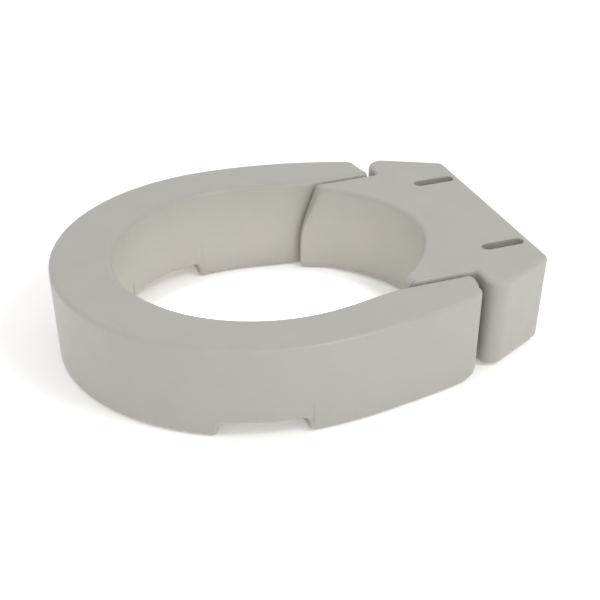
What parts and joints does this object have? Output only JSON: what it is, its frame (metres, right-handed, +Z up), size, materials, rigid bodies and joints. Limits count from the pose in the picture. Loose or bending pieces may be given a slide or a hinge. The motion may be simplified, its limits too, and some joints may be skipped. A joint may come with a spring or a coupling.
{
  "type": "raised toilet seat",
  "caption": "Hinged toilet-seat riser: a hollow U-shaped seat ring that swings up from a hollow rear base bolted to the bowl.",
  "frame": {"origin": "on the bowl rim under the pads, at the middle of the overall length and width", "axes": "+X to the user's left as seated, across the seat; +Y from the front tip to the rear edge; +Z up"},
  "size_m": [0.3424, 0.4337, 0.091],
  "materials": {
    "ring_plastic": "satin ivory polyethylene",
    "base_plastic": "satin ivory polyethylene",
    "pin_steel": "turned",
    "bearing_nylon": "matt",
    "pad_rubber": "matt"
  },
  "bodies": {
    "base": {"rear_base": "base_plastic", "hinge_pin_left": "pin_steel", "hinge_pin_right": "pin_steel", "hinge_washer_left": "bearing_nylon", "hinge_washer_right": "bearing_nylon", "base_pad_left": "pad_rubber", "base_pad_right": "pad_rubber"},
    "ring": {"seat_ring": "ring_plastic", "hinge_bushing_left": "bearing_nylon", "hinge_bushing_right": "bearing_nylon", "front_pad_left": "pad_rubber", "front_pad_right": "pad_rubber", "side_pad_left": "pad_rubber", "side_pad_right": "pad_rubber"}
  },
  "joints": [
    {"name": "ring_lift", "type": "hinge", "parent": "base", "child": "ring", "pos_m": [0, 0.104, 0.071], "axis": [-1, 0, 0], "range_deg": [0, 100]}
  ]
}
